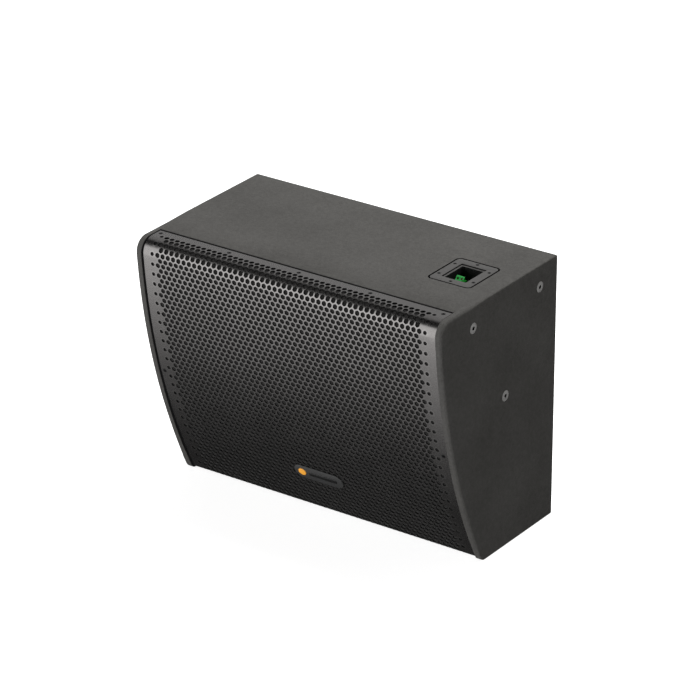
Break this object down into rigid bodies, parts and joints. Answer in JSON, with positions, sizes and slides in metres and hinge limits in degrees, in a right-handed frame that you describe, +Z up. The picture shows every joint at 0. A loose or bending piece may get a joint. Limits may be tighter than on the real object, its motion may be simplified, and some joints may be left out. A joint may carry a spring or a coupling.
{
  "type": "installation loudspeaker",
  "caption": "Two-way full-range loudspeaker with a curved perforated steel front, flat back, recessed screw-terminal dish and threaded fixing points on both sides.",
  "frame": {"origin": "centre of the bounding box's bottom face, on the surface the cabinet stands on", "axes": "+X across the width towards the side with the terminal dish, +Y from the front to the flat back, +Z up"},
  "size_m": [0.6164, 0.3479, 0.482],
  "materials": {
    "cabinet_paint": "matte",
    "plywood": "matte",
    "grille_steel": "satin",
    "foam": "matte",
    "badge": "satin",
    "black_screws": "satin",
    "dish_plastic": "matte",
    "terminal_green": "satin",
    "zinc": "satin",
    "plate_steel": "satin",
    "fly_screw_steel": "satin",
    "cast_aluminium": "matte",
    "magnet": "matte",
    "paper_cone": "matte",
    "surround_rubber": "matte",
    "spider_cloth": "matte",
    "voice_coil": "satin",
    "horn_plastic": "matte",
    "diaphragm": "satin",
    "circuit_board": "satin",
    "copper_coil": "satin",
    "film_capacitor": "satin",
    "wadding": "matte"
  },
  "bodies": {
    "cabinet": {"left_cheek": "cabinet_paint", "right_cheek": "cabinet_paint", "top_panel": "cabinet_paint", "bottom_panel": "cabinet_paint", "back_panel": "cabinet_paint", "baffle_board": "plywood", "brace_strut": "plywood", "grille_batten_left": "plywood", "grille_batten_right": "plywood", "grille": "grille_steel", "grille_foam": "foam", "badge": "badge", "grille_screw_top_1": "black_screws", "grille_screw_top_2": "black_screws", "grille_screw_top_3": "black_screws", "grille_screw_top_4": "black_screws", "grille_screw_top_5": "black_screws", "grille_screw_left": "black_screws", "grille_screw_right": "black_screws", "terminal_screw_1": "black_screws", "terminal_screw_2": "black_screws", "terminal_screw_3": "black_screws", "terminal_screw_4": "black_screws", "terminal_screw_5": "black_screws", "terminal_screw_6": "black_screws", "woofer_bolt_1": "black_screws", "woofer_bolt_2": "black_screws", "woofer_bolt_3": "black_screws", "woofer_bolt_4": "black_screws", "terminal_dish": "dish_plastic", "terminal_header": "terminal_green", "fly_plate_left": "plate_steel", "fly_plate_right": "plate_steel", "fly_screw_left_1": "fly_screw_steel", "fly_screw_left_2": "fly_screw_steel", "fly_screw_left_3": "fly_screw_steel", "fly_screw_right_1": "fly_screw_steel", "fly_screw_right_2": "fly_screw_steel", "fly_screw_right_3": "fly_screw_steel", "woofer_basket": "cast_aluminium", "woofer_top_plate": "plate_steel", "woofer_magnet": "magnet", "woofer_yoke": "plate_steel", "woofer_surround": "surround_rubber", "woofer_spider": "spider_cloth", "hf_horn": "horn_plastic", "hf_driver": "magnet", "hf_rear_cap": "cast_aluminium", "crossover_board": "circuit_board", "crossover_inductor": "copper_coil", "crossover_capacitor": "film_capacitor", "port_tube": "horn_plastic", "damping_wadding": "wadding"},
    "woofer_moving": {"woofer_cone": "paper_cone", "woofer_dust_cap": "paper_cone", "woofer_voice_coil": "voice_coil"},
    "hf_moving": {"hf_diaphragm": "diaphragm"},
    "terminal_plug_body": {"terminal_plug": "terminal_green"},
    "clamp_screw_body_1": {"clamp_screw_1": "zinc"},
    "clamp_screw_body_2": {"clamp_screw_2": "zinc"}
  },
  "joints": [
    {"name": "cone_travel", "type": "slide", "parent": "cabinet", "child": "woofer_moving", "axis": [0, -0.9635, -0.2677], "range_m": [-0.006, 0.006], "stiffness_N_per_m": 3000, "deforming": ["woofer_surround", "woofer_spider"]},
    {"name": "diaphragm_travel", "type": "slide", "parent": "cabinet", "child": "hf_moving", "axis": [0, -0.9635, -0.2677], "range_m": [-0.0003, 0.0003], "stiffness_N_per_m": 4000},
    {"name": "plug_pull", "type": "slide", "parent": "cabinet", "child": "terminal_plug_body", "axis": [0, 0, 1], "range_m": [0, 0.014]},
    {"name": "clamp_screw_turn_1", "type": "hinge", "parent": "terminal_plug_body", "child": "clamp_screw_body_1", "pos_m": [0.2119, 0.0192, 0.47075], "axis": [0, -0.7071, 0.7071], "range_deg": [0, 1080]},
    {"name": "clamp_screw_turn_2", "type": "hinge", "parent": "terminal_plug_body", "child": "clamp_screw_body_2", "pos_m": [0.2195, 0.0192, 0.47075], "axis": [0, -0.7071, 0.7071], "range_deg": [0, 1080]}
  ]
}
